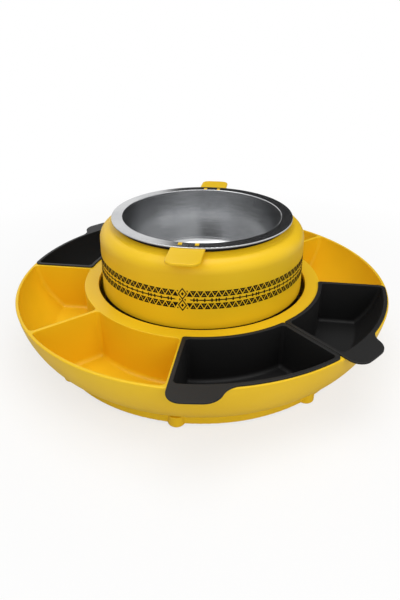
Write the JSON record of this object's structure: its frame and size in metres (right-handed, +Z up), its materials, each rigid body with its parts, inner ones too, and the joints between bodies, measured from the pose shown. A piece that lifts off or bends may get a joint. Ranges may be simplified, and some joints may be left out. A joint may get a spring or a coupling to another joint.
{
  "type": "heated rotating serving dish",
  "caption": "Round electric taco bar: a steel pot in a drum heater housing, with a turning yellow dish of sector compartments and black lift-out trays around it.",
  "frame": {"origin": "on the vertical axis, at the surface the feet stand on", "axes": "+Z up; -Y to the front, where one pot handle and one foot point; +X to the right"},
  "size_m": [0.4198, 0.4544, 0.1493],
  "materials": {
    "yellow": "smooth, satin gloss",
    "black": "smooth, matt",
    "steel": "smooth, bright",
    "bearing_plastic": "smooth",
    "ball_steel": "polished",
    "rubber_black": "matt",
    "zinc": "zinc plated",
    "cast_plate": "as cast",
    "element_metal": "dark oxide",
    "ceramic_white": "matt",
    "phenolic": "matt",
    "lead_brown": "sleeved",
    "lead_blue": "sleeved"
  },
  "bodies": {
    "base": {"base_pan": "yellow", "foot_pads": "rubber_black", "cord_gland": "rubber_black", "lower_race": "bearing_plastic", "heater_housing": "yellow", "housing_sleeve": "black", "housing_screws": "zinc", "seat_ring": "black", "inner_liner": "steel", "chassis_posts": "zinc", "plate_spacers": "ceramic_white", "tie_bolts": "zinc", "heating_plate": "cast_plate", "heating_element": "element_metal", "thermostat": "phenolic", "thermal_fuse": "ceramic_white", "fuse_clip": "zinc", "terminal_block": "ceramic_white", "terminal_screws": "zinc", "lead_live": "lead_brown", "lead_neutral": "lead_blue"},
    "turntable": {"upper_race": "bearing_plastic"},
    "cage": {"ball_cage": "black", "bearing_balls": "ball_steel"},
    "dish": {"serving_dish": "yellow"},
    "tray_1": {"tray_1": "black"},
    "tray_2": {"tray_2": "black"},
    "tray_3": {"tray_3": "black"},
    "tray_4": {"tray_4": "black"},
    "pot": {"pot": "steel", "pot_handle_front": "yellow", "pot_handle_rear": "yellow"}
  },
  "joints": [
    {"name": "turntable_turn", "type": "hinge", "parent": "base", "child": "turntable", "pos_m": [0, 0, 0.019], "axis": [0, 0, 1], "continuous": true},
    {"name": "cage_turn", "type": "hinge", "parent": "base", "child": "cage", "pos_m": [0, 0, 0.019], "axis": [0, 0, 1], "continuous": true},
    {"name": "dish_lift", "type": "slide", "parent": "turntable", "child": "dish", "axis": [0, 0, 1], "range_m": [0, 0.06]},
    {"name": "tray_1_lift", "type": "slide", "parent": "dish", "child": "tray_1", "axis": [0, 0, 1], "range_m": [0, 0.08]},
    {"name": "tray_2_lift", "type": "slide", "parent": "dish", "child": "tray_2", "axis": [0, 0, 1], "range_m": [0, 0.08]},
    {"name": "tray_3_lift", "type": "slide", "parent": "dish", "child": "tray_3", "axis": [0, 0, 1], "range_m": [0, 0.08]},
    {"name": "tray_4_lift", "type": "slide", "parent": "dish", "child": "tray_4", "axis": [0, 0, 1], "range_m": [0, 0.08]},
    {"name": "pot_lift", "type": "slide", "parent": "base", "child": "pot", "axis": [0, 0, 1], "range_m": [0, 0.12]}
  ],
  "couplings": [
    {"joint": "cage_turn", "follows": "turntable_turn", "ratio": 0.5}
  ]
}
